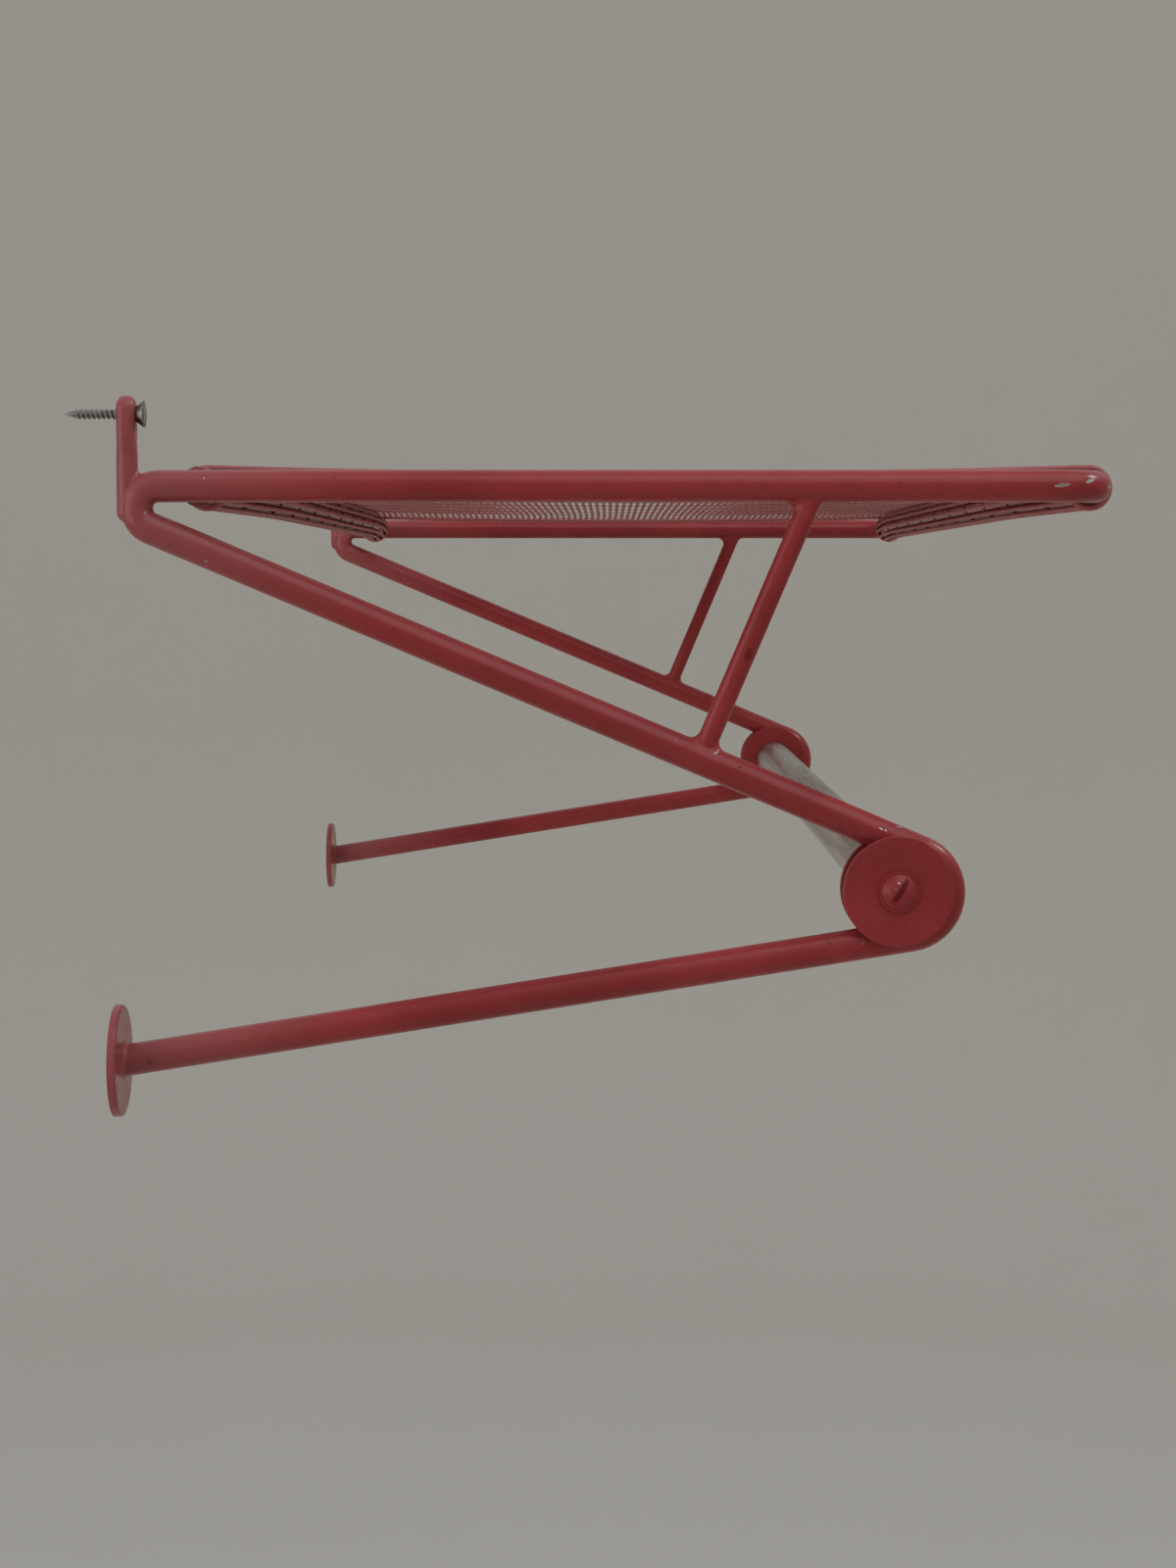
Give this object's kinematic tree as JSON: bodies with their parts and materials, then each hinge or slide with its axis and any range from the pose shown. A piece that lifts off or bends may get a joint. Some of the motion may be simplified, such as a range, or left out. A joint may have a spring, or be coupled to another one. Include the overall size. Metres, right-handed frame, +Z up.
{
  "type": "wall luggage rack",
  "caption": "Wall rack of bent round bar: a wire-mat shelf on two braced side frames, with a hanging rail turning between round end discs below.",
  "frame": {"origin": "on the wall plane, midway between the two wall screws and level with them", "axes": "+X along the wall to the right of someone facing it, +Y into the wall, +Z up; the rack stands out towards -Y"},
  "size_m": [0.882, 0.3909, 0.2687],
  "materials": {
    "frame_lacquer": "glossy red lacquer, chipped in places",
    "disc_lacquer": "glossy red lacquer",
    "screw_lacquer": "red lacquer, worn in the slot",
    "shelf_lacquer": "glossy red lacquer on wire",
    "rail_metal": "satin, drawn lengthwise",
    "plug_metal": "turned",
    "screw_steel": "dull zinc plate"
  },
  "bodies": {
    "frame": {"front_crossbar": "frame_lacquer", "rear_crossbar": "frame_lacquer", "left_side_bar": "frame_lacquer", "right_side_bar": "frame_lacquer", "left_strut": "frame_lacquer", "right_strut": "frame_lacquer", "left_wall_bracket": "frame_lacquer", "right_wall_bracket": "frame_lacquer", "left_wall_pad": "frame_lacquer", "right_wall_pad": "frame_lacquer", "left_outer_disc": "disc_lacquer", "right_outer_disc": "disc_lacquer", "left_inner_disc": "disc_lacquer", "right_inner_disc": "disc_lacquer", "left_spacer_bush": "disc_lacquer", "right_spacer_bush": "disc_lacquer", "left_rail_washer": "disc_lacquer", "right_rail_washer": "disc_lacquer", "shelf_wires": "shelf_lacquer", "rear_hem_wires": "shelf_lacquer", "front_hem_wires": "shelf_lacquer", "shelf_strips": "shelf_lacquer", "left_edge_wire": "shelf_lacquer", "right_edge_wire": "shelf_lacquer", "left_wall_screw": "screw_steel", "right_wall_screw": "screw_steel"},
    "rail": {"hanging_rail": "rail_metal", "left_rail_plug": "plug_metal", "right_rail_plug": "plug_metal", "left_rail_screw": "screw_lacquer", "right_rail_screw": "screw_lacquer"}
  },
  "joints": [
    {"name": "rail_turn", "type": "hinge", "parent": "frame", "child": "rail", "pos_m": [0, -0.2922, -0.1762], "axis": [1, 0, 0], "continuous": true}
  ]
}
